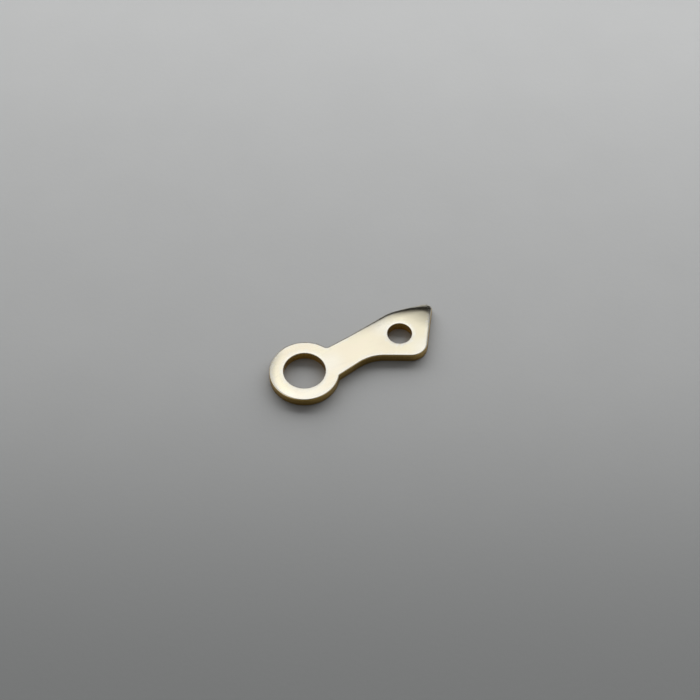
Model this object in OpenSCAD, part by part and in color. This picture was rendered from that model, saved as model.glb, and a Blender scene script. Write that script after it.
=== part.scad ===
/* [Lever] */
// Thickness of the sheet that the lever is stamped from
thickness = 0.34; // [0.26:0.01:0.5]
// Distance from the pivot bore to the small hole in the head
centre_distance = 3.5; // [3.2:0.05:4.2]
// Width of the bevel along the upper edge
edge_bevel = 0.05; // [0.03:0.01:0.09]

/* [Pivot ring] */
// Diameter of the pivot bore
pivot_bore_d = 1.4; // [1.2:0.02:1.6]
// Width of metal round the pivot bore
ring_wall = 0.47; // [0.4:0.01:0.6]
// Lead-in chamfer at both mouths of the pivot bore
bore_lead_in = 0.03; // [0.01:0.01:0.05]

/* [Neck] */
// Height of the neck's back edge over the line of centres, at the ring
neck_back = 0.47; // [0.45:0.005:0.62]
// Drop of the neck's belly edge under the line of centres, at the ring
neck_belly = 0.74; // [0.65:0.01:0.78]
// Fillet between the ring and the back edge
back_fillet = 0.16; // [0.06:0.01:0.3]
// Fillet between the ring and the belly edge
belly_fillet = 0.05; // [0.04:0.01:0.3]
// Distance of the waist from the small hole, back towards the pivot
waist_setback = 1.27; // [1.1:0.01:1.4]
// Drop of the waist's corner under the line of centres
waist_drop = 0.38; // [0.34:0.01:0.44]
// Radius of the hollow at the waist
waist_r = 1.4; // [0.6:0.05:2]

/* [Shoulder] */
// Distance from the pivot to the bend where the back edge starts to widen into the head
shoulder_at = 1.95; // [1.7:0.01:2.1]
// Height of the back edge at that bend
shoulder_height = 0.65; // [0.62:0.01:0.7]
// Radius of the bend
shoulder_r = 2; // [1:0.1:3]

/* [Head] */
// Diameter of the small hole in the head
head_hole_d = 0.82; // [0.6:0.01:1]
// Lead-in chamfer at both mouths of the small hole
hole_lead_in = 0.02; // [0.01:0.01:0.05]
// Distance of the crown's corner past the small hole
crown_reach = 0.05; // [0:0.01:0.3]
// Height of the crown's corner over the line of centres
crown_height = 0.96; // [0.88:0.005:1]
// Radius of the crown
crown_r = 1.4; // [0.8:0.05:2.2]
// Distance of the heel's corner past the small hole
heel_reach = 0.4; // [0.2:0.01:0.6]
// Drop of the heel's corner under the line of centres
heel_drop = 1.19; // [1.1:0.01:1.4]
// Radius of the heel
heel_r = 0.56; // [0.4:0.01:0.65]

/* [Beak] */
// Distance of the beak's sharp corner past the small hole
beak_reach = 1.675; // [1.5:0.005:1.8]
// Height of the beak's sharp corner over the line of centres
beak_height = 0.835; // [0.7:0.005:0.9]
// Radius that blunts the beak in plan
beak_r = 0.245; // [0.15:0.005:0.4]
// Radius on which the upper face rolls down at the beak
roll_r = 2.5; // [2.1:0.05:3.2]
// Length of the rolled stretch, measured back from the beak's sharp corner
roll_length = 1.1; // [0.9:0.01:1.15]
// Heading of the roll, from the line of centres
roll_heading = 55; // [45:1:60]

/* [Hidden] */
$fn = 96;

ring_r = pivot_bore_d / 2 + ring_wall;
// How far a cutter reaches past the metal that it takes away, and a fillet into its metal
margin = 0.02;
// How far a bevel cutter runs on past the end of its edge
lap = 0.04;
// How far each round bites past the edges that it is tangent to, so that they cross cleanly
bite = 0.0002;

// The neck's two edges start inside the ring
back_root = [ring_r / 2, neck_back];
belly_root = [ring_r / 2, -neck_belly];

// Corners of the arm and the head with their radii, anticlockwise from the belly
head = [centre_distance, 0];
shoulder = [shoulder_at, shoulder_height];
CORNERS = [
    [head + [-waist_setback, -waist_drop], waist_r],
    [head + [heel_reach, -heel_drop], heel_r],
    [head + [beak_reach, beak_height], beak_r],
    [head + [crown_reach, crown_height], crown_r],
    [shoulder, shoulder_r]
];
BEAK = 2;
LAST = len(CORNERS) - 1;

function unit(v) = v / norm(v);
function left_of(v) = [-v[1], v[0]];
function heading(v) = atan2(v[1], v[0]);

function corner(i) = CORNERS[i][0];
function radius(i) = CORNERS[i][1];

// Unit vectors from a corner to its neighbours, and half the angle between them
function to_before(i) = unit((i == 0 ? belly_root : corner(i - 1)) - corner(i));
function to_after(i) = unit((i == LAST ? back_root : corner(i + 1)) - corner(i));
function half_angle(i) = acos(to_before(i) * to_after(i)) / 2;
function convex(i) = cross(to_after(i), to_before(i)) > 0;

// Where a corner's arc starts, ends and has its centre
function arc_reach(i) = radius(i) / tan(half_angle(i));
function arc_start(i) = corner(i) + to_before(i) * arc_reach(i);
function arc_end(i) = corner(i) + to_after(i) * arc_reach(i);
function arc_centre(i) = corner(i) + unit(to_before(i) + to_after(i)) * radius(i) / sin(half_angle(i));

// Centre of a fillet of radius r between the ring and an edge of the neck that starts at root
// and runs along the unit vector run, with out as the unit vector away from the metal
function fillet_centre(root, run, out, r) =
    let (height = root * out + r)
    out * height + run * sqrt(pow(ring_r + r, 2) - pow(height, 2));

back_run = unit(shoulder - back_root);
back_out = left_of(back_run);
back_centre = fillet_centre(back_root, back_run, back_out, back_fillet);
back_start = back_centre - back_out * back_fillet;

belly_run = unit(corner(0) - belly_root);
belly_out = -left_of(belly_run);
belly_centre = fillet_centre(belly_root, belly_run, belly_out, belly_fillet);
belly_start = belly_centre - belly_out * belly_fillet;

// The point that lies a margin further from the centre than the point given
function past(centre, point) = point + margin * unit(point - centre);

// The points of a plan in anticlockwise order
function anticlockwise(points) =
    cross(points[1] - points[0], points[2] - points[0]) > 0
        ? points
        : [for (k = [len(points) - 1 : -1 : 0]) points[k]];

// What lies between a corner and its arc: taken off at a convex corner, filled in at a hollow one
module arc_corner(i) {
    centre = arc_centre(i);
    difference() {
        polygon(anticlockwise([
            centre,
            past(centre, arc_start(i)),
            past(centre, past(centre, corner(i))),
            past(centre, arc_end(i))
        ]));
        translate(centre) circle(radius(i) + bite);
    }
}

// Metal between the ring and the neck, hollowed by the fillet's circle
module root_fillet(centre, out, r) {
    difference() {
        polygon(anticlockwise([[0, 0], centre, centre - out * (r + margin)]));
        translate(centre) circle(r + bite);
    }
}

// Plan of the lever, without its holes
module lever_plan() {
    difference() {
        union() {
            circle(ring_r);
            polygon([belly_root, for (i = [0 : LAST]) corner(i), back_root]);
            for (i = [0 : LAST]) if (!convex(i)) arc_corner(i);
            root_fillet(back_centre, back_out, back_fillet);
            root_fillet(belly_centre, belly_out, belly_fillet);
        }
        for (i = [0 : LAST]) if (convex(i)) arc_corner(i);
    }
}

// Section of the bevel cutter: x runs away from the metal, y is the height
module bevel_section() {
    polygon([
        [-edge_bevel - margin, thickness + margin],
        [margin, thickness - edge_bevel - margin],
        [margin, thickness + margin]
    ]);
}

// Bevel along a straight edge, with the metal on its left from start to end
module straight_bevel(start, end) {
    translate(start)
        rotate(heading(end - start))
            rotate([90, 0, 90])
                linear_extrude(norm(end - start)) mirror([1, 0]) bevel_section();
}

// Bevel round the outside of an arc, anticlockwise through sweep degrees
module round_bevel(centre, r, from, sweep) {
    translate(centre)
        rotate(from)
            rotate_extrude(angle = sweep) translate([r, 0]) bevel_section();
}

// Bevel along the inside of a hollow arc, anticlockwise through sweep degrees
module hollow_bevel(centre, r, from, sweep) {
    lap_angle = atan(lap / r);
    translate(centre)
        rotate(from - lap_angle)
            rotate_extrude(angle = sweep + 2 * lap_angle)
                translate([r + bite, 0]) mirror([1, 0]) bevel_section();
}

// Ends of the straight edges: a bevel cutter runs on past a convex arc's end of its edge
function edge_start(i) = arc_end(i) - (convex(i) ? lap : 0) * to_after(i);
function edge_end(i) = arc_start(i) - (convex(i) ? lap : 0) * to_before(i);

// Bevel all the way round the upper edge
module edge_bevels() {
    straight_bevel(belly_start, edge_end(0));
    for (i = [0 : LAST - 1]) straight_bevel(edge_start(i), edge_end(i + 1));
    straight_bevel(edge_start(LAST), back_start);

    for (i = [0 : LAST]) {
        centre = arc_centre(i);
        sweep = 180 - 2 * half_angle(i);
        if (convex(i))
            round_bevel(centre, radius(i) + bite, heading(arc_start(i) - centre), sweep);
        else
            hollow_bevel(centre, radius(i), heading(arc_end(i) - centre), sweep);
    }

    back_from = heading(-back_centre);
    hollow_bevel(back_centre, back_fillet, back_from, heading(-back_out) - back_from);
    belly_from = heading(-belly_out);
    hollow_bevel(belly_centre, belly_fillet, belly_from, heading(-belly_centre) - belly_from);
    ring_from = heading(back_centre);
    round_bevel([0, 0], ring_r, ring_from, 360 + heading(belly_centre) - ring_from);
}

// Through hole with a chamfer at both mouths
module hole(centre, d, lead_in) {
    translate(centre) {
        translate([0, 0, -margin]) cylinder(h = thickness + 2 * margin, d = d);
        for (mouth = [0, 1])
            translate([0, 0, mouth * thickness])
                mirror([0, 0, mouth])
                    translate([0, 0, -margin])
                        cylinder(h = lead_in + margin, r1 = d / 2 + lead_in + margin, r2 = d / 2);
    }
}

// What the rolled stretch takes off the upper face at the beak
module beak_roll() {
    width = 4 * roll_length;
    translate(corner(BEAK))
        rotate(roll_heading)
            translate([-roll_length, 0, thickness])
                difference() {
                    translate([0, -width / 2, -thickness]) cube([2 * roll_length, width, 2 * thickness]);
                    translate([0, 0, -roll_r])
                        rotate([90, 0, 0])
                            cylinder(h = 2 * width, r = roll_r + bite, center = true);
                }
}

// One stamped lever: pivot ring, neck, and head with the beak
module jumper_lever() {
    color("#e9dfbd")
        difference() {
            linear_extrude(thickness) lever_plan();
            edge_bevels();
            beak_roll();
            hole([0, 0], pivot_bore_d, bore_lead_in);
            hole(head, head_hole_d, hole_lead_in);
        }
}

jumper_lever();
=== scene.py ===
# %% [markdown]
# Dressing a date jumper
#
# A date jumper is the small lever that makes the date ring of a watch stand still at each day.
# Its ring turns on a post, and its beak drops into the gap between two teeth of the date ring.
# The construction of the lever is loaded here as a fixed frame. It has the right size, but its
# arcs are coarse and its edges are plain. So the lesson models the lever once more over the frame,
# as one closed shell with fine arcs, soft edges and a rolled beak, and then gives it its finishes.

from math import atan2, ceil, copysign, cos, degrees, pi, radians, sin, sqrt, tan

import bmesh
import bpy
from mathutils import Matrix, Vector
from mathutils.bvhtree import BVHTree


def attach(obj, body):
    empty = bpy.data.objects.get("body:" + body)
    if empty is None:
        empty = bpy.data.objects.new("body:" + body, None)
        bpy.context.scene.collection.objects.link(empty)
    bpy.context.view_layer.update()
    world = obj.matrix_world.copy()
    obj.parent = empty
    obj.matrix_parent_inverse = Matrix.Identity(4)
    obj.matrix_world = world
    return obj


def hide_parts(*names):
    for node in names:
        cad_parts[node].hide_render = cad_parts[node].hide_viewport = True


MM = 0.001


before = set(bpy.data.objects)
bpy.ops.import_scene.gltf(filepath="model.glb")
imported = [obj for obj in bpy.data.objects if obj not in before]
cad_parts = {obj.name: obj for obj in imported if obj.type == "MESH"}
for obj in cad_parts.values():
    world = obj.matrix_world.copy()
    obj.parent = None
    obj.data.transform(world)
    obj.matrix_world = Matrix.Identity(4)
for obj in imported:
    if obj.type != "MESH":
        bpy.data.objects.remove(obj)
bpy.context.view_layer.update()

# %% [markdown]
# The camera comes first, because it settles what is worth modelling. The photograph looks down
# at the lever from 55 degrees above the floor, with the ring near the camera and the beak far
# from it. A long lens keeps the two holes nearly the same shape, as they are there. The picture's
# frame is square, and a 36 mm sensor with a 120 mm lens gives its field of view. The camera's
# distance and the point that it aims at are in millimetres.

# %% Set up the camera
CAMERA_AZIMUTH = -25.47
CAMERA_ELEVATION = 55
CAMERA_DISTANCE = 77.53
AIM = Vector((1.709, 0.094, 0.34))


def direction(azimuth, elevation):
    """Unit vector towards a point that is seen at this azimuth and elevation, in degrees."""
    a = radians(azimuth)
    e = radians(elevation)
    return Vector((sin(a) * cos(e), -cos(a) * cos(e), sin(e)))


towards_camera = direction(CAMERA_AZIMUTH, CAMERA_ELEVATION)
lens = bpy.data.cameras.new("camera")
lens.sensor_width = 36
lens.lens = 120
lens.clip_start = 0.001
lens.clip_end = 10
camera = bpy.data.objects.new("camera", lens)
camera.location = (AIM + towards_camera * CAMERA_DISTANCE) * MM
camera.rotation_euler = (-towards_camera).to_track_quat("-Z", "Y").to_euler()
bpy.context.scene.collection.objects.link(camera)
bpy.context.scene.camera = camera
print("Camera, millimetres:", [round(c / MM, 2) for c in camera.location])

# %% [markdown]
# These are the sizes of the lever, in millimetres. The origin is the axis of the pivot bore at
# the underside, and X runs to the small hole. The arm starts at two roots inside the ring. The
# arm and the head have five rounded corners, given anticlockwise from the belly of the arm: the
# hollow waist, the heel, the beak, the crown of the back and the slight bend where the back
# starts to widen. Each has the place of its sharp corner and the radius that rounds it.

# %% Sizes of the lever
THICKNESS = 0.34
RING_R = 1.17
PIVOT_R = 0.7
PIVOT_AT = Vector((0, 0, 0))
HOLE_R = 0.41
HOLE_AT = Vector((3.5, 0, 0))
BACK_ROOT = Vector((0.585, 0.47, 0))
BELLY_ROOT = Vector((0.585, -0.74, 0))
BACK_FILLET = 0.16
BELLY_FILLET = 0.05
CORNERS = {
    "waist": (Vector((2.23, -0.38, 0)), 1.4),
    "heel": (Vector((3.9, -1.19, 0)), 0.56),
    "beak": (Vector((5.175, 0.835, 0)), 0.245),
    "crown": (Vector((3.55, 0.96, 0)), 1.4),
    "shoulder": (Vector((1.95, 0.65, 0)), 2.0),
}
print("Corners:", ", ".join(CORNERS))

# %% [markdown]
# The outline is drawn as a toolmaker scribes it on sheet: a pen makes straight lines and arcs.
# A straight line is one extruded vertex. An arc is the pen's vertex spun about the arc's centre,
# which keeps every point on a true circle. A vertex bevel would be shorter to write, but on an
# open angle it gives an ellipse and not a circle.

# %% The scribing pen
UP = Vector((0, 0, 1))
FULL_TURN = 2 * pi
LONGEST_CHORD = 0.03
LARGEST_TURN = radians(15)


def scribe_line(bm, pen, point):
    """Runs a straight edge from the pen to the point, and returns the new pen."""
    made = bmesh.ops.extrude_vert_indiv(bm, verts=[pen])
    tip = made["verts"][0]
    bmesh.ops.translate(bm, verts=[tip], vec=point - tip.co)
    return tip


def scribe_arc(bm, pen, centre, angle, axis=UP):
    """Swings the pen about the centre, and returns the new pen."""
    length = abs(angle) * (pen.co - centre).length
    steps = max(ceil(length / LONGEST_CHORD), ceil(abs(angle) / LARGEST_TURN))
    made = bmesh.ops.spin(bm, geom=[pen], cent=centre, axis=axis, angle=angle, steps=steps)
    return [g for g in made["geom_last"] if isinstance(g, bmesh.types.BMVert)][0]


print("Longest chord of an arc:", LONGEST_CHORD, "mm")

# %% [markdown]
# A corner is rounded by an arc that touches both of its edges. It starts as far before the corner
# as the radius and the turn ask for, and its centre lies square to the edge there, to the left
# where the outline turns left and to the right where it turns right.

# %% Rounded corners


def signed_angle(a, b):
    """Angle from a to b in plan, anticlockwise positive."""
    return atan2(a.cross(b).z, a.dot(b))


def round_off(before, corner, after, radius):
    """Start, centre and signed turn of the arc that rounds a corner."""
    into = (corner - before).normalized()
    out = (after - corner).normalized()
    turn = signed_angle(into, out)
    start = corner - into * radius * tan(abs(turn) / 2)
    centre = start + Vector((-into.y, into.x, 0)) * copysign(radius, turn)
    return start, centre, turn


waist, waist_radius = CORNERS["waist"]
start, centre, turn = round_off(BELLY_ROOT, waist, CORNERS["heel"][0], waist_radius)
print("The waist turns by", round(degrees(turn), 1), "degrees")

# %% [markdown]
# Where the arm meets the ring, the die leaves a small fillet in each crotch. A fillet's centre
# lies its own radius outside both the ring's circle and the edge of the arm, so it touches both.

# %% Fillets between ring and arm


def fillet_centre(root, run, out, radius):
    """Centre of the fillet between the ring and the edge that starts at root and heads along run."""
    height = root.dot(out) + radius
    return out * height + run * sqrt((RING_R + radius) ** 2 - height**2)


def edge_directions(root, corner, side):
    """Direction of an edge of the arm, and the direction away from the metal."""
    run = (corner - root).normalized()
    return run, Vector((-run.y, run.x, 0)) * side


back_run, back_out = edge_directions(BACK_ROOT, CORNERS["shoulder"][0], 1)
belly_run, belly_out = edge_directions(BELLY_ROOT, CORNERS["waist"][0], -1)
back_centre = fillet_centre(BACK_ROOT, back_run, back_out, BACK_FILLET)
belly_centre = fillet_centre(BELLY_ROOT, belly_run, belly_out, BELLY_FILLET)
print("Back fillet centre:", [round(c, 3) for c in back_centre.xy])
print("Belly fillet centre:", [round(c, 3) for c in belly_centre.xy])

# %% [markdown]
# The pen goes once round, anticlockwise: the ring, the belly's fillet, the five corners and the
# back's fillet. The closed line is filled with one face, the plan of the lever.

# %% Scribe the outline
WELD = 0.0005
shell = bmesh.new()
ring_start = back_centre * (RING_R / (RING_R + BACK_FILLET))
belly_touch = belly_centre * (RING_R / (RING_R + BELLY_FILLET))
pen = shell.verts.new(ring_start)
pen = scribe_arc(shell, pen, PIVOT_AT, FULL_TURN + signed_angle(back_centre, belly_centre))
print("The ring ends", round((pen.co - belly_touch).length, 6), "mm from the belly's fillet")
pen = scribe_arc(shell, pen, belly_centre, signed_angle(-belly_centre, -belly_out))
names = list(CORNERS)
points = [BELLY_ROOT] + [CORNERS[n][0] for n in names] + [BACK_ROOT]
for i, name in enumerate(names):
    start, centre, turn = round_off(points[i], points[i + 1], points[i + 2], CORNERS[name][1])
    pen = scribe_line(shell, pen, start)
    pen = scribe_arc(shell, pen, centre, turn)
pen = scribe_line(shell, pen, back_centre - back_out * BACK_FILLET)
pen = scribe_arc(shell, pen, back_centre, signed_angle(-back_out, -back_centre))
print("The outline closes to", round((pen.co - ring_start).length, 6), "mm")
bmesh.ops.remove_doubles(shell, verts=shell.verts, dist=WELD)
bmesh.ops.edgeloop_fill(shell, edges=shell.edges)
print("Outline:", len(shell.verts), "points,", len(shell.faces), "face")

# %% [markdown]
# The punch cuts the lever out of sheet, so its walls stand straight up all round. The plan is
# extruded for that, and each of its two copies stops short of the sheet's surface by the round
# that comes there later. Every face carries the number of its finish from here on.

# %% Raise the walls
FACE, RIM, WALL, UNDERSIDE, REAMED = range(5)
UPPER_ROUND = 0.05
LOWER_ROUND = 0.02
plan = shell.faces[:][0]
if plan.normal.z < 0:
    bmesh.ops.reverse_faces(shell, faces=[plan])
made = bmesh.ops.extrude_face_region(shell, geom=[plan])
top = [g for g in made["geom"] if isinstance(g, bmesh.types.BMFace)][0]
bmesh.ops.translate(shell, verts=plan.verts, vec=(0, 0, LOWER_ROUND))
bmesh.ops.translate(shell, verts=top.verts, vec=(0, 0, THICKNESS - UPPER_ROUND))
for f in shell.faces:
    f.material_index = WALL
bmesh.ops.recalc_face_normals(shell, faces=shell.faces)
print("Walls:", len(shell.faces) - 2, "faces")

# %% [markdown]
# The edges are to be rolled down later by how near each point is to the outline. A copy of the
# bare walls is kept for that as a fence. A tree of its faces finds the nearest point of the
# outline, the way that the edge faces there and the distance to it, faster and more exactly than
# a search through the vertices. At a corner of the outline two faces are equally near, and their
# order decides between them. An extrusion leaves its faces in another order each time, so they
# are sorted first, by their place along a slanting direction, and every run gives the same lever.

# %% Keep the bare walls as a fence
SLANT = Vector((1, 0.37, 0))
fence_walls = shell.copy()
flats = [f for f in fence_walls.faces if abs(f.normal.z) > 0.5]
bmesh.ops.delete(fence_walls, geom=flats, context="FACES_ONLY")
fence_walls.faces.sort(key=lambda f: f.calc_center_median().dot(SLANT))
fence = BVHTree.FromBMesh(fence_walls)
print("Fence:", len(fence_walls.faces), "faces")
fence_walls.free()

# %% [markdown]
# The upper rim is a wide polished round, and the lower one only loses its sharp corner. The two
# rims come from insets: each step of an inset draws the face in and lifts it a little, so the
# steps together make a quarter round. A bevel would do the same, but insets also leave the flat
# face whole, ready to be opened for the holes.

# %% Round the rims
UPPER_STEPS = 8
LOWER_STEPS = 4
LAND = 0.012


def step_in(bm, face, draw, lift):
    """Draws a face in and lifts it, and returns the ring of faces that this leaves round it."""
    made = bmesh.ops.inset_region(bm, faces=[face], thickness=draw, depth=lift, use_even_offset=True)
    return made["faces"]


def round_rim(bm, face, radius, steps):
    """Takes a face along a quarter round, and returns a narrow flat land between it and the round."""
    inset = 0
    height = 0
    for step in range(1, steps + 1):
        angle = pi / 2 * step / steps
        draw = radius * (1 - cos(angle)) - inset
        lift = radius * sin(angle) - height
        for f in step_in(bm, face, draw, lift):
            f.material_index = RIM if angle > pi / 4 else WALL
        inset += draw
        height += lift
    return step_in(bm, face, LAND, 0)


for face, radius, steps, finish in (
    (top, UPPER_ROUND, UPPER_STEPS, FACE),
    (plan, LOWER_ROUND, LOWER_STEPS, UNDERSIDE),
):
    for f in round_rim(shell, face, radius, steps):
        f.material_index = finish
heights = [v.co.z for v in shell.verts]
print("Height:", round(max(heights) - min(heights), 4), "mm")

# %% [markdown]
# A hole is a turned shape, so it is spun: its section, a straight wall with a rounded lead-in at
# each mouth and a narrow land on each face, goes once round the axis of the hole. The plan's two
# flat faces are taken off first, to be filled again round the holes.

# %% Spin the two holes
BORE_LEAD_IN = 0.018
BORE_STEPS = 160
HOLE_LEAD_IN = 0.012
HOLE_STEPS = 112


def chain_from(vertex):
    """The vertices and edges of the open chain that starts at a vertex, in their order."""
    verts = [vertex]
    edges = []
    for v in verts:
        for e in v.link_edges:
            if e not in edges:
                edges.append(e)
                verts.append(e.other_vert(v))
    return verts + edges


def spin_hole(bm, centre, radius, lead_in, steps):
    """Adds the wall, mouths and lands of a through hole."""
    mouth = centre + Vector((radius + lead_in, 0, 0))
    sideways = Vector((0, -1, 0))
    first = bm.verts.new(mouth + Vector((LAND, 0, 0)))
    pen = scribe_line(bm, first, mouth)
    pen = scribe_arc(bm, pen, mouth + UP * lead_in, -pi / 2, sideways)
    pen = scribe_line(bm, pen, mouth + Vector((-lead_in, 0, THICKNESS - lead_in)))
    pen = scribe_arc(bm, pen, mouth + UP * (THICKNESS - lead_in), -pi / 2, sideways)
    scribe_line(bm, pen, mouth + Vector((LAND, 0, THICKNESS)))
    bmesh.ops.spin(
        bm,
        geom=chain_from(first),
        cent=centre,
        axis=UP,
        angle=FULL_TURN,
        steps=steps,
        use_merge=True,
    )


bmesh.ops.delete(shell, geom=[top, plan], context="FACES_ONLY")
before = set(shell.faces)
spin_hole(shell, PIVOT_AT, PIVOT_R, BORE_LEAD_IN, BORE_STEPS)
spin_hole(shell, HOLE_AT, HOLE_R, HOLE_LEAD_IN, HOLE_STEPS)
turned = set(shell.faces) - before
print("Holes:", len(turned), "faces")

# %% [markdown]
# Inside the holes each face gets its finish by its slope: an upright one is the reamed wall, a
# sloping one is a polished mouth, and a level one belongs to the upper face or the underside.

# %% Sort the faces of the holes
UPRIGHT = 0.1
LEVEL = 0.999
for f in turned:
    slope = abs(f.normal.z)
    if slope < UPRIGHT:
        f.material_index = REAMED
    elif slope < LEVEL:
        f.material_index = RIM
    else:
        f.material_index = FACE if f.calc_center_median().z > THICKNESS / 2 else UNDERSIDE
print("Reamed faces:", sum(f.material_index == REAMED for f in turned))

# %% [markdown]
# Each flat is now an outer land, two lands round the holes, and nothing between them. A triangle
# fill spans the metal and leaves the holes open, which filling with one face can't do. The edges
# that it draws are marked as seams, because they are in the way later.

# %% Fill the flat faces round the holes
NEAR_FLAT = 0.001
for height, finish in ((THICKNESS, FACE), (0, UNDERSIDE)):
    rims = [
        e
        for e in shell.edges
        if len(e.link_faces) == 1 and all(abs(v.co.z - height) < NEAR_FLAT for v in e.verts)
    ]
    made = bmesh.ops.triangle_fill(shell, use_beauty=True, use_dissolve=False, edges=rims, normal=UP)
    for g in made["geom"]:
        if isinstance(g, bmesh.types.BMFace):
            g.material_index = finish
        elif isinstance(g, bmesh.types.BMEdge):
            g.seam = True
open_edges = [e for e in shell.edges if not e.is_manifold]
print("Open edges:", len(open_edges), "faces:", len(shell.faces))

# %% [markdown]
# A flat that is filled in one go has no points inside to bend it with. So the shell is ruled into
# small squares with planes along both axes. The long edges of the filling are no longer needed
# then. Their seams make them easy to find and dissolve, and clean squares stay. A plane that
# passes within the snap distance of a point goes through it, so no slivers come of it.

# %% Rule the shell into squares
SQUARE = 0.05
SNAP = 0.002


def rule(bm, axis, spacing):
    """Cuts the shell along evenly spaced planes square to an axis."""
    places = [v.co.dot(axis) for v in bm.verts]
    first = min(places)
    cuts = int((max(places) - first) / spacing)
    for k in range(1, cuts + 1):
        everything = bm.verts[:] + bm.edges[:] + bm.faces[:]
        at = axis * (first + k * spacing)
        bmesh.ops.bisect_plane(bm, geom=everything, dist=SNAP, plane_co=at, plane_no=axis)
    return cuts


for axis in (Vector((1, 0, 0)), Vector((0, 1, 0))):
    print("Cuts:", rule(shell, axis, SQUARE))
filling = [e for e in shell.edges if e.seam]
bmesh.ops.dissolve_edges(shell, edges=filling, use_verts=True)
open_edges = [e for e in shell.edges if not e.is_manifold]
print("After ruling:", len(shell.faces), "faces,", len(open_edges), "open edges")

# %% [markdown]
# Edges roll down smoothly, so three small curves shape every roll: one eases in along the lever,
# one fades out as the outline turns away from a heading, and one gives the drop across the edge.
# Its power is 2 for a soft roll, and less for one that keeps a firmer bend where it starts.

# %% Curves for the rolls


def ease(value, low, high):
    """Zero below low, one above high, and a smooth change between."""
    t = min(1, max(0, (value - low) / (high - low)))
    return t * t * (3 - 2 * t)


def facing(out, heading, power):
    """One where the edge faces this heading in plan, fading to zero at right angles to it."""
    a = radians(heading)
    return max(0, out.x * cos(a) + out.y * sin(a)) ** power


def roll_off(distance, width, depth, power=2.0):
    """How far the face lies down at this distance inside an edge."""
    return depth * max(0, 1 - distance / width) ** power


print("Half way across a roll it is", roll_off(0.5, 1, 1), "of its depth")

# %% [markdown]
# Where the punch enters the sheet, it drags the metal beside the cut down a little before it
# shears. This die roll is slight at the neck and grows along the back towards the beak. There it
# is a soft roll with a steep strip at the very edge, which widens towards the beak and gets flat
# where the beak's own roll takes over. The head's flank and the outer side of the ring have less
# of it, and the mouths of the holes only a trace. A roll is given by its width and its depth, by
# the heading in degrees that its edge faces, and by the two places on X between which it grows,
# which the ring counts backwards. The strip widens in two stages, each with its gain in width and
# its two places.

# %% Die roll along the edges
PROBE_HEIGHT = 0.15
BACK_HEADING = 80
SOFT_ROLL = (0.38, 0.044)
SOFT_GROWS = (1.2, 4.8)
STRIP_START = 0.06
STRIP_GROWTH = ((0.05, 1.8, 3.6), (0.12, 4.1, 4.9))
STRIP_SLOPE = 0.28
STRIP_POWER = 1.5
STRIP_LOSS = 0.76
STRIP_FADES = (4.3, 4.9)
FLANK_HEADING = -33
FLANK_ROLL = (0.13, 0.018)
FLANK_GROWS = (3.6, 4.4)
RING_HEADING = 165
RING_ROLL = (0.3, 0.045)
RING_GROWS = (0, 0.6)
MOUTH_ROLL = (0.09, 0.004)


def die_roll(point):
    """Drop of the face at a point of the plan, and its distance to the nearest edge."""
    probe = Vector((point.x, point.y, PROBE_HEIGHT))
    near, out, _, distance = fence.find_nearest(probe)
    back = facing(out, BACK_HEADING, 2)
    flank = facing(out, FLANK_HEADING, 3)
    ring_side = facing(out, RING_HEADING, 2)
    strip = STRIP_START
    for more, low, high in STRIP_GROWTH:
        strip += more * ease(near.x, low, high)
    left = 1 - STRIP_LOSS * ease(near.x, *STRIP_FADES)
    drop = roll_off(distance, *SOFT_ROLL) * back * ease(near.x, *SOFT_GROWS)
    drop += roll_off(distance, strip, STRIP_SLOPE * strip, STRIP_POWER) * back * left
    drop += roll_off(distance, *FLANK_ROLL) * flank * ease(near.x, *FLANK_GROWS)
    drop += roll_off(distance, *RING_ROLL) * ring_side * ease(-near.x, *RING_GROWS)
    for centre, radius in ((PIVOT_AT, PIVOT_R), (HOLE_AT, HOLE_R)):
        inside = max(0, (point.xy - centre.xy).length - radius)
        drop += roll_off(inside, *MOUTH_ROLL)
        distance = min(distance, inside)
    return drop, distance


crown_edge = fence.find_nearest(CORNERS["crown"][0])[0]
print("Roll at the crown:", round(die_roll(crown_edge)[0], 3), "mm")

# %% [markdown]
# The beak is rolled over more, on purpose, so that a tooth of the date ring slides under it. Two
# rolls lie one inside the other, a long one and a short blunt one at the tip. Each is given by
# its heading in plan, its length, its depth and its power. Every point sinks in proportion to its
# height, so the underside stays flat. The mesh also keeps how close each point is to an edge, for
# the wear that comes later.

# %% Roll the edges down
BEAK_ROLLS = ((35, 1.08, 0.113, 2.0), (41, 0.43, 0.048, 1.7))
EDGE_ZONE = 0.25
beak_rolls = []
for heading, length, depth, power in BEAK_ROLLS:
    along = Vector((cos(radians(heading)), sin(radians(heading)), 0))
    tip = max(v.co.dot(along) for v in shell.verts)
    beak_rolls.append((along, tip, length, depth, power))
closeness = shell.verts.layers.float.new("edge")
deepest = 0
for v in shell.verts:
    drop, distance = die_roll(v.co)
    for along, tip, length, depth, power in beak_rolls:
        drop += roll_off(tip - v.co.dot(along), length, depth, power)
    v[closeness] = max(0, 1 - distance / EDGE_ZONE)
    v.co.z *= 1 - drop / THICKNESS
    deepest = max(deepest, drop)
print("Deepest roll:", round(deepest, 3), "mm")

# %% [markdown]
# The lever was modelled in millimetres, because its sizes are easier to read in them, and the
# scene is in metres. So the shell is scaled once, at the very end. Smooth shading hides the steps
# of its arcs. The finished piece rides on the frame's root and stands in for the frame's lever.

# %% Put the lever in the scene
bmesh.ops.recalc_face_normals(shell, faces=shell.faces)
bmesh.ops.scale(shell, vec=(MM, MM, MM), verts=shell.verts)
for f in shell.faces:
    f.smooth = True
mesh = bpy.data.meshes.new("lever")
shell.to_mesh(mesh)
print("Volume:", round(shell.calc_volume() / MM**3, 4), "cubic millimetres")
shell.free()
lever = bpy.data.objects.new("lever", mesh)
bpy.context.scene.collection.objects.link(lever)
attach(lever, "root")
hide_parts("jumper_lever")

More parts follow.
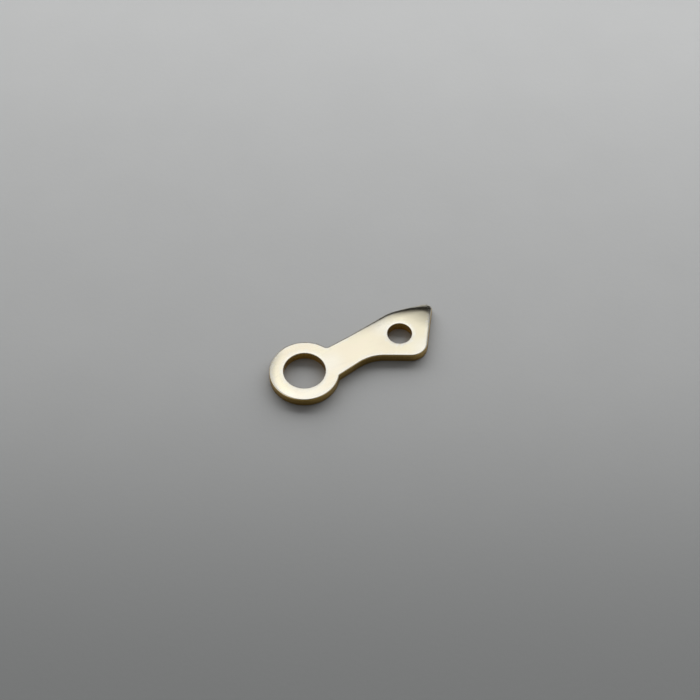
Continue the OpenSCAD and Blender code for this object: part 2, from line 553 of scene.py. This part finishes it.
# %% [markdown]
# Materials are networks of nodes. The helpers keep the networks short to write: each one adds
# a node, wires what it is given, and returns the output that the next node reads. An input can be
# a plain number or the output of another node. The first ones do sums.

# %% Sums with nodes


def feed(tree, socket, value):
    """Wires an output into a socket, or sets the socket to a plain value."""
    if isinstance(value, bpy.types.NodeSocket):
        tree.links.new(value, socket)
    elif value is not None:
        socket.default_value = value


def sums(tree, operation, a, b=None, c=None):
    """A Math node."""
    node = tree.nodes.new("ShaderNodeMath")
    node.operation = operation
    for socket, value in zip(node.inputs, (a, b, c)):
        feed(tree, socket, value)
    return node.outputs["Value"]


def times(tree, a, b):
    """One value times another."""
    return sums(tree, "MULTIPLY", a, b)


def plus(tree, base, value, amount):
    """The base plus this amount of a value."""
    return sums(tree, "MULTIPLY_ADD", value, amount, base)


def strongest(tree, values):
    """The largest of several values at each point."""
    largest = values[0]
    for value in values[1:]:
        largest = sums(tree, "MAXIMUM", largest, value)
    return largest


def span(tree, value, low, high, to_low=0.0, to_high=1.0, way="SMOOTHSTEP"):
    """A Map Range node, which changes smoothly between its two ends unless told otherwise."""
    node = tree.nodes.new("ShaderNodeMapRange")
    node.interpolation_type = way
    for name, given in (("Value", value), ("From Min", low), ("From Max", high)):
        feed(tree, node.inputs[name], given)
    feed(tree, node.inputs["To Min"], to_low)
    feed(tree, node.inputs["To Max"], to_high)
    return node.outputs["Result"]


print("Sums: feed, sums, times, plus, strongest, span")

# %% [markdown]
# A pattern depends on the place of a point, which is a vector. These helpers measure, split,
# build, turn and stretch vectors.

# %% Places as vectors
MEASURES = ("DISTANCE", "LENGTH", "DOT_PRODUCT")


def vectors(tree, operation, a, b=None):
    """A Vector Math node, which gives a number where it measures and else a vector."""
    node = tree.nodes.new("ShaderNodeVectorMath")
    node.operation = operation
    feed(tree, node.inputs[0], a)
    feed(tree, node.inputs[1], b)
    return node.outputs["Value" if operation in MEASURES else "Vector"]


def part_of(tree, vector, axis):
    """One of the three parts of a vector."""
    node = tree.nodes.new("ShaderNodeSeparateXYZ")
    feed(tree, node.inputs["Vector"], vector)
    return node.outputs[axis]


def built_from(tree, x, y=0.0, z=0.0):
    """A vector from its three parts."""
    node = tree.nodes.new("ShaderNodeCombineXYZ")
    for name, value in (("X", x), ("Y", y), ("Z", z)):
        feed(tree, node.inputs[name], value)
    return node.outputs["Vector"]


def stretched(tree, place, turn, scale):
    """A Mapping node: turns the place about the vertical, in degrees, then scales it."""
    node = tree.nodes.new("ShaderNodeMapping")
    feed(tree, node.inputs["Vector"], place)
    feed(tree, node.inputs["Rotation"], (0, 0, radians(turn)))
    feed(tree, node.inputs["Scale"], scale)
    return node.outputs["Vector"]


print("Vectors: vectors, part_of, built_from, stretched")

# %% [markdown]
# Nothing on worked metal repeats exactly, so noise is the base of every pattern here. Its values
# lie about one half. Colours are blended with a mask, which is any value from zero to one.

# %% Noise and colours


def noise(tree, place, scale, detail=2.0, rough=0.5):
    """A Noise Texture node."""
    node = tree.nodes.new("ShaderNodeTexNoise")
    feed(tree, node.inputs["Vector"], place)
    feed(tree, node.inputs["Scale"], scale)
    feed(tree, node.inputs["Detail"], detail)
    feed(tree, node.inputs["Roughness"], rough)
    return node.outputs["Fac"]


def blend(tree, amount, a, b):
    """A Mix node for colours."""
    node = tree.nodes.new("ShaderNodeMix")
    node.data_type = "RGBA"
    feed(tree, node.inputs["Factor"], amount)
    feed(tree, node.inputs["A"], a)
    feed(tree, node.inputs["B"], b)
    return node.outputs["Result"]


print("Patterns: noise, blend")

# %% [markdown]
# Grain, scratches and wear come from the same tools and hands wherever they are. So each is built
# once, as a group with named inputs and outputs, and placed in a material with its own values.

# %% Groups of nodes
FLOAT = "NodeSocketFloat"
PLACE = "NodeSocketVector"


def new_group(name, inputs, outputs):
    """A shader node group with its named sockets, and its two end nodes."""
    tree = bpy.data.node_groups.new(name, "ShaderNodeTree")
    for label, kind in inputs:
        tree.interface.new_socket(name=label, in_out="INPUT", socket_type=kind)
    for label, kind in outputs:
        tree.interface.new_socket(name=label, in_out="OUTPUT", socket_type=kind)
    return tree, tree.nodes.new("NodeGroupInput").outputs, tree.nodes.new("NodeGroupOutput").inputs


def use_group(tree, group, **values):
    """Places a group in a network, and returns its outputs."""
    node = tree.nodes.new("ShaderNodeGroup")
    node.node_tree = group
    for name, value in values.items():
        feed(tree, node.inputs[name], value)
    return node.outputs


print("Groups: new_group, use_group")

# %% [markdown]
# Sheet metal keeps the straight grain of the rolls and the lapping stone, even under a polish.
# Noise that is stretched along one direction gives it. Two noises of different fineness keep the
# lines from looking ruled.

# %% Group: sheet grain
COARSE_SHARE = 0.6
FINE_SHARE = 0.4
FINER = 3.7
sheet_grain, given, result = new_group(
    "sheet grain", [("Place", PLACE), ("Fineness", FLOAT), ("Stretch", FLOAT)], [("Height", FLOAT)]
)
thin = sums(sheet_grain, "DIVIDE", given["Fineness"], given["Stretch"])
squeeze = built_from(sheet_grain, thin, given["Fineness"], thin)
lines = vectors(sheet_grain, "MULTIPLY", given["Place"], squeeze)
coarse = noise(sheet_grain, lines, scale=1.0, detail=2.0, rough=0.6)
fine = noise(sheet_grain, lines, scale=FINER, detail=2.0, rough=0.6)
height = plus(sheet_grain, times(sheet_grain, coarse, COARSE_SHARE), fine, FINE_SHARE)
feed(sheet_grain, result["Height"], height)
print("Nodes in the sheet grain:", len(sheet_grain.nodes))

# %% [markdown]
# Tweezers and other parts leave hairline scratches, nearly straight and in a few directions. A
# scratch is the thin band where a noise that is stretched along it crosses its middle value. A
# second noise keeps only some stretches of it, so the scratches start and end. Each set of them
# has a heading in degrees and a shift, so that it reads another part of the noise than the rest.

# %% Group: handling marks
HAIRLINES = ((17, 3.1), (-38, 7.7), (71, 12.9))
HAIRLINE_STRETCH = (0.04, 1.0, 0.04)
HAIRLINE_BAND = 0.012
handling_marks, given, result = new_group(
    "handling marks", [("Place", PLACE), ("Fineness", FLOAT), ("Amount", FLOAT)], [("Mask", FLOAT)]
)
marks = []
for turn, shift in HAIRLINES:
    place = stretched(handling_marks, given["Place"], turn, HAIRLINE_STRETCH)
    moved = vectors(handling_marks, "ADD", place, (shift, shift, shift))
    band = noise(handling_marks, moved, given["Fineness"], detail=1.0, rough=0.4)
    off = sums(handling_marks, "ABSOLUTE", sums(handling_marks, "SUBTRACT", band, 0.5))
    line = span(handling_marks, off, 0.0, HAIRLINE_BAND, 1.0, 0.0)
    elsewhere = stretched(handling_marks, given["Place"], turn, (0.7, 1.0, 1.0))
    patches = noise(handling_marks, elsewhere, times(handling_marks, given["Fineness"], 0.4))
    marks.append(times(handling_marks, line, span(handling_marks, patches, 0.54, 0.66)))
masked = times(handling_marks, strongest(handling_marks, marks), given["Amount"])
feed(handling_marks, result["Mask"], masked)
print("Nodes in the handling marks:", len(handling_marks.nodes))

# %% [markdown]
# On a gilt part the edges are rubbed first. The mesh carries how close each point is to an edge,
# and noise breaks that up, so the rubbing is uneven.

# %% Group: edge wear
PATCHINESS = 1.6
edge_wear, given, result = new_group(
    "edge wear", [("Place", PLACE), ("Closeness", FLOAT), ("Amount", FLOAT)], [("Mask", FLOAT)]
)
patchy = noise(edge_wear, given["Place"], scale=9.0, detail=4.0, rough=0.6)
centred = sums(edge_wear, "SUBTRACT", given["Closeness"], PATCHINESS / 2)
worn = span(edge_wear, plus(edge_wear, centred, patchy, PATCHINESS), 0.25, 1.1)
feed(edge_wear, result["Mask"], times(edge_wear, worn, given["Amount"]))
print("Nodes in the edge wear:", len(edge_wear.nodes))

# %% [markdown]
# Every material of the lever starts in the same way: a Principled shader, and Object coordinates
# turned from metres into millimetres, so that all the numbers of the patterns are real sizes.
# Fine relief is bumped into the normal, because it is far too small for the mesh.

# %% Start of a material


def new_material(name, metallic):
    """A material with its tree, its shader and the place of a point in millimetres."""
    material = bpy.data.materials.new(name)
    material.use_nodes = True
    tree = material.node_tree
    shader = tree.nodes["Principled BSDF"]
    shader.inputs["Metallic"].default_value = metallic
    place = tree.nodes.new("ShaderNodeTexCoord").outputs["Object"]
    return material, tree, shader, stretched(tree, place, 0, (1 / MM, 1 / MM, 1 / MM))


def relief(tree, shader, height, depth):
    """Turns a height into relief on the shader's normal. The depth is in millimetres."""
    bump = tree.nodes.new("ShaderNodeBump")
    bump.inputs["Strength"].default_value = 1.0
    bump.inputs["Distance"].default_value = depth * MM
    feed(tree, bump.inputs["Height"], height)
    feed(tree, shader.inputs["Normal"], bump.outputs["Normal"])


print("Units of the patterns: millimetres")

# %% [markdown]
# The upper face and its rims are gilt. The gilding is pale: cream with a little pink in clouds, and
# deeper towards the beak. It is whiter at the edges, partly where it is rubbed thin and partly as a
# painted highlight on the rims. Soft whiter spots are painted highlights, set where the rims and the
# face show whitish glints. Each spot has a place and a radius. They are listed one by one, because
# the glints aren't spread evenly, as plain noise would spread them.

# %% Polished gilt: colour
GILT = (0.93, 0.87, 0.68, 1)
ROSY_GILT = (0.94, 0.86, 0.69, 1)
# Whiter gilt, partly for rubbing at the edges and partly as a painted highlight.
RUBBED_AND_HIGHLIGHT_GILT = (0.95, 0.92, 0.83, 1)
DEEP_GILT = (0.87, 0.81, 0.63, 1)
DEEPENS = (3.0, 5.6)
# Painted highlights: soft spots of whiter gilt where glints fall on the rims and the face.
HIGHLIGHT_STRENGTH = 0.6
HIGHLIGHT_SPOTS = (
    ((-0.2, -1.0, 0.34), 1.1),
    ((-0.8, -0.8, 0.34), 0.6),
    ((0.9, -0.1, 0.34), 0.7),
    ((3.95, -0.85, 0.34), 0.65),
    ((3.1, 0.5, 0.34), 0.6),
)
gilt, tree, shader, place = new_material("polished gilt", 1.0)
clouds = noise(tree, place, scale=1.1, detail=3.0, rough=0.55)
tint = blend(tree, span(tree, clouds, 0.35, 0.65), GILT, ROSY_GILT)
towards_beak = plus(tree, part_of(tree, place, "X"), clouds, 2.0)
tint = blend(tree, span(tree, towards_beak, *DEEPENS), tint, DEEP_GILT)
# Painted highlight: each spot whitens the gilt towards its centre.
highlight_spots = []
for spot, reach in HIGHLIGHT_SPOTS:
    away = vectors(tree, "DISTANCE", place, spot)
    highlight_spots.append(span(tree, away, 0, reach, HIGHLIGHT_STRENGTH, 0.0))
tint = blend(tree, strongest(tree, highlight_spots), tint, RUBBED_AND_HIGHLIGHT_GILT)
# The edge wear whitens the gilt, partly as real rubbing and partly as a painted highlight on the
# rims.
edge = tree.nodes.new("ShaderNodeAttribute")
edge.attribute_name = "edge"
wear = use_group(tree, edge_wear, Place=place, Closeness=edge.outputs["Fac"], Amount=1.0)
feed(tree, shader.inputs["Base Color"], blend(tree, wear["Mask"], tint, RUBBED_AND_HIGHLIGHT_GILT))
print("Painted highlight spots:", len(HIGHLIGHT_SPOTS))

# %% [markdown]
# The polish is good but not a mirror: handling clouds it, and the grain, the scratches and the
# worn edges each add a little haze. The relief is a soft swell from the polishing buff, a trace
# of grain, and scratches cut in.

# %% Polished gilt: polish and relief
POLISH = 0.11
CLOUD_HAZE = 0.10
GRAIN_HAZE = 0.06
MARK_HAZE = 0.10
WEAR_HAZE = 0.06
SWELL = 0.6
GRAIN_CUT = 0.05
MARK_CUT = -0.12
along_grain = stretched(tree, place, 12, (1, 1, 1))
grain = use_group(tree, sheet_grain, Place=along_grain, Fineness=38.0, Stretch=30.0)
marks = use_group(tree, handling_marks, Place=place, Fineness=5.0, Amount=0.8)
haze = plus(tree, POLISH, clouds, CLOUD_HAZE)
haze = plus(tree, haze, grain["Height"], GRAIN_HAZE)
haze = plus(tree, haze, marks["Mask"], MARK_HAZE)
feed(tree, shader.inputs["Roughness"], plus(tree, haze, wear["Mask"], WEAR_HAZE))
swell = noise(tree, place, scale=2.6, detail=2.0, rough=0.5)
height = plus(tree, times(tree, grain["Height"], GRAIN_CUT), swell, SWELL)
height = plus(tree, height, marks["Mask"], MARK_CUT)
relief(tree, shader, height, depth=0.002)
print("Nodes in the polished gilt:", len(tree.nodes))

# %% [markdown]
# The punch leaves two zones on a stamped wall. Under the die roll the metal is sheared bright,
# with fine upright lines from the punch. Below a wavy border it has torn, and is rough and
# darker. Noise that is stretched upright gives the lines on a wall of any heading.

# %% Stamped wall
SHEARED = (0.62, 0.42, 0.13, 1)
TORN = (0.42, 0.27, 0.08, 1)
BORDER_HEIGHT = 0.06
BORDER_WAVE = 0.10
BORDER_BLUR = 0.012
SHEARED_HAZE = 0.24
TORN_HAZE = 0.26
wall, tree, shader, place = new_material("stamped wall", 1.0)
lines = noise(tree, stretched(tree, place, 0, (1, 1, 0.05)), scale=34.0, detail=3.0, rough=0.6)
crumbs = noise(tree, place, scale=42.0, detail=4.0, rough=0.65)
wave = noise(tree, stretched(tree, place, 0, (1, 1, 0.2)), scale=5.0, detail=3.0, rough=0.6)
border = plus(tree, BORDER_HEIGHT, wave, BORDER_WAVE)
below = sums(tree, "SUBTRACT", border, part_of(tree, place, "Z"))
torn = span(tree, below, -BORDER_BLUR, BORDER_BLUR)
shade = blend(tree, torn, SHEARED, TORN)
dark_lines = span(tree, lines, 0.35, 0.75, 0.0, 0.45)
feed(tree, shader.inputs["Base Color"], blend(tree, dark_lines, shade, TORN))
haze = plus(tree, SHEARED_HAZE, torn, TORN_HAZE)
feed(tree, shader.inputs["Roughness"], plus(tree, haze, crumbs, 0.12))
height = plus(tree, times(tree, crumbs, torn), lines, 0.6)
relief(tree, shader, height, depth=0.004)
print("Nodes in the stamped wall:", len(tree.nodes))

# %% [markdown]
# The two holes are reamed after the punch has made them, because a post has to turn in one and a
# pin has to sit in the other. A reamer leaves smooth walls with fine rings, so here the same noise
# is squeezed the other way: it hardly changes round the hole, and changes fast up the wall.

# %% Reamed hole
REAMED_GOLD = (0.94, 0.58, 0.13, 1)
RING_SHADE = (0.7, 0.42, 0.09, 1)
REAMED_HAZE = 0.2
reamed, tree, shader, place = new_material("reamed hole", 1.0)
rings = noise(tree, stretched(tree, place, 0, (0.4, 0.4, 1)), scale=60.0, detail=2.0, rough=0.6)
stain = noise(tree, place, scale=7.0, detail=3.0, rough=0.6)
tone = span(tree, plus(tree, times(tree, stain, 0.5), rings, 0.4), 0.25, 0.65)
feed(tree, shader.inputs["Base Color"], blend(tree, tone, REAMED_GOLD, RING_SHADE))
feed(tree, shader.inputs["Roughness"], plus(tree, REAMED_HAZE, stain, 0.12))
relief(tree, shader, rings, depth=0.0015)
print("Nodes in the reamed hole:", len(tree.nodes))

# %% [markdown]
# The underside slides over the plate as the lever swings about its post. So over its straight
# lapped grain it has faint rub marks, all on arcs about the pivot. The distance from the pivot
# gives the arcs, because the pivot is at the origin.

# %% Lapped underside
LAPPED = (0.86, 0.78, 0.58, 1)
RUBBED = (0.93, 0.87, 0.72, 1)
LAPPED_HAZE = 0.26
under, tree, shader, place = new_material("lapped underside", 1.0)
along_grain = stretched(tree, place, 64, (1, 1, 1))
grain = use_group(tree, sheet_grain, Place=along_grain, Fineness=26.0, Stretch=40.0)
from_pivot = vectors(tree, "LENGTH", stretched(tree, place, 0, (1, 1, 0)))
arcs = noise(tree, built_from(tree, from_pivot), scale=22.0, detail=3.0, rough=0.7)
patches = span(tree, noise(tree, place, scale=1.6), 0.42, 0.62)
rub = times(tree, span(tree, arcs, 0.48, 0.62), patches)
feed(tree, shader.inputs["Base Color"], blend(tree, rub, LAPPED, RUBBED))
haze = plus(tree, LAPPED_HAZE, grain["Height"], 0.14)
feed(tree, shader.inputs["Roughness"], plus(tree, haze, rub, -0.10))
height = plus(tree, times(tree, grain["Height"], 0.3), rub, -0.10)
relief(tree, shader, height, depth=0.002)
print("Nodes in the lapped underside:", len(tree.nodes))

# %% [markdown]
# The number that each face carries is the place of its finish in this list. The polished gilt is
# there twice, for the upper face and for the rims, because one polish runs over both.

# %% Give the lever its finishes
for material in (gilt, gilt, wall, under, reamed):
    mesh.materials.append(material)
print("Finishes:", ", ".join(m.name for m in mesh.materials))

# %% [markdown]
# The floor is a plain pale board, so large that its edge never shows in the picture. It is matt, with
# a faint mottling that is much larger than the lever's own marks. Its colour also carries painted
# shade: darker towards the front, for the light's fall-off there, and darker behind the lever, where
# the lamp stands close over it and would burn it out in the views from the side. One distance along
# the board, counted in millimetres from the pivot towards the front, gives both.

# %% Floor
BOARD_HALF = 0.4
BOARD_GREY = (0.25, 0.253, 0.253, 1)
BOARD_PALE = (0.272, 0.275, 0.275, 1)
PAINTED_FRONT_SHADE = (0.172, 0.176, 0.176, 1)
PAINTED_LAMP_SHADE = (0.11, 0.112, 0.112, 1)
FRONT_SHADE_SPAN = (-2, 12)
LAMP_SHADE_SPAN = (-45, -12)
MATT = 0.7
board = bmesh.new()
bmesh.ops.create_grid(board, x_segments=2, y_segments=2, size=BOARD_HALF)
floor_mesh = bpy.data.meshes.new("floor")
board.to_mesh(floor_mesh)
board.free()
floor = bpy.data.objects.new("floor", floor_mesh)
bpy.context.scene.collection.objects.link(floor)
pale, tree, shader, place = new_material("pale board", 0.0)
mottle = noise(tree, place, scale=0.35, detail=4.0, rough=0.6)
board_colour = blend(tree, mottle, BOARD_GREY, BOARD_PALE)
forward = vectors(tree, "DOT_PRODUCT", place, direction(CAMERA_AZIMUTH, 0))
# Painted shade: the board's colour darkens towards the front, for the light's fall-off.
board_colour = blend(tree, span(tree, forward, *FRONT_SHADE_SPAN), board_colour, PAINTED_FRONT_SHADE)
# Painted shade: the board's colour darkens behind the lever, against the close lamp's glare.
lamp_shade = span(tree, forward, *LAMP_SHADE_SPAN, to_low=1.0, to_high=0.0)
feed(tree, shader.inputs["Base Color"], blend(tree, lamp_shade, board_colour, PAINTED_LAMP_SHADE))
feed(tree, shader.inputs["Roughness"], plus(tree, MATT, mottle, 0.1))
relief(tree, shader, noise(tree, place, scale=6.0, detail=3.0, rough=0.6), depth=0.003)
floor_mesh.materials.append(pale)
print("Floor, millimetres across:", round(2 * BOARD_HALF / MM))

# %% [markdown]
# Polished metal shows what surrounds it. In the photograph the light is broad and comes from
# behind the lever and above it. It is dark near the horizon, which is why the far edges and the
# rolled beak look dark. The world is painted in that way from the direction of a ray: dark low
# down, bright above, brightest behind the lever, with a weaker glow out to the sides and low on
# the left. A picture of a studio would do the same, but would bring a file with it.

# %% World: what the metal mirrors
DARK_BELOW = radians(34)
BRIGHT_ABOVE = radians(58)
world = bpy.data.worlds.new("studio")
bpy.context.scene.world = world
world.use_nodes = True
tree = world.node_tree
ray = tree.nodes.new("ShaderNodeTexCoord").outputs["Generated"]


def share(axis):
    """How far a ray leans along an axis, from minus one to one."""
    return vectors(tree, "DOT_PRODUCT", ray, axis)


back_share = share(direction(CAMERA_AZIMUTH + 180, 0))
right_share = share(direction(CAMERA_AZIMUTH + 90, 0))
side_share = sums(tree, "ABSOLUTE", right_share)
rise = span(tree, share(UP), sin(DARK_BELOW), sin(BRIGHT_ABOVE), way="LINEAR")
behind = span(tree, back_share, -0.5, 0.3, to_low=0.3, to_high=1.15)
aside = span(tree, side_share, 0.12, 0.7, to_low=1.0, to_high=0.3)
dome = times(tree, times(tree, rise, behind), aside)
side_glow = span(tree, side_share, 0.3, 0.8, to_low=0.02, to_high=0.32)
on_left = span(tree, right_share, -0.45, -0.2, to_low=0.32, to_high=0.0)
low_left = times(tree, on_left, sums(tree, "SUBTRACT", 1.0, rise))
glow = sums(tree, "ADD", sums(tree, "ADD", dome, side_glow), low_left)
print("Nodes for the mirrored sky:", len(tree.nodes))

# %% [markdown]
# The metal has to mirror that sky at its full strength, but the matt floor and the camera don't.
# The sky that lights the floor is dimmed, because the lamp gives most of the floor's light, with
# its shadow. The camera sees an even grey backdrop past the floor.

# %% World: what the floor and the camera get
BACKDROP = 0.38
ON_FLOOR = 0.6
SKY = (1.0, 1.0, 0.99, 1)
path = tree.nodes.new("ShaderNodeLightPath").outputs
mirrored = span(tree, path["Is Glossy Ray"], 0, 1, ON_FLOOR, 1.0, "LINEAR")
unseen = sums(tree, "SUBTRACT", 1.0, path["Is Camera Ray"])
lit = times(tree, unseen, times(tree, glow, mirrored))
background = tree.nodes["Background"]
feed(tree, background.inputs["Strength"], plus(tree, lit, path["Is Camera Ray"], BACKDROP))
background.inputs["Color"].default_value = SKY
print("Nodes in the world:", len(tree.nodes))

# %% [markdown]
# The lever's shadow is soft and falls towards the camera, a little to one side. So a softbox
# stands close behind the lever, 29 degrees up. It is wide and low, which makes the shadow much
# softer from side to side than towards the camera. A round lamp would blur it alike both ways.
# The softbox is hidden from the metal and from the camera, because the sky already gives the
# metal all that it mirrors. Its sizes are in metres.

# %% Light
LAMP_AZIMUTH = CAMERA_AZIMUTH + 180 - 6
LAMP_ELEVATION = 29
LAMP_DISTANCE = 0.055
LAMP_WIDTH = 0.16
LAMP_HEIGHT = 0.042
LAMP_WATTS = 0.139
lamp = bpy.data.lights.new("softbox", "AREA")
lamp.shape = "RECTANGLE"
lamp.size = LAMP_WIDTH
lamp.size_y = LAMP_HEIGHT
lamp.energy = LAMP_WATTS
softbox = bpy.data.objects.new("softbox", lamp)
toward = direction(LAMP_AZIMUTH, LAMP_ELEVATION)
softbox.location = toward * LAMP_DISTANCE
softbox.rotation_euler = toward.to_track_quat("Z", "Y").to_euler()
softbox.visible_glossy = False
softbox.visible_camera = False
bpy.context.scene.collection.objects.link(softbox)
half_width = atan2(LAMP_WIDTH / 2, LAMP_DISTANCE)
print("Half width of the softbox, degrees:", round(degrees(half_width), 1))

# %% [markdown]
# The Standard view shows colours about as they are written. Dressing must not change the
# lever's size.

# %% Finish
bpy.context.scene.view_settings.view_transform = "Standard"
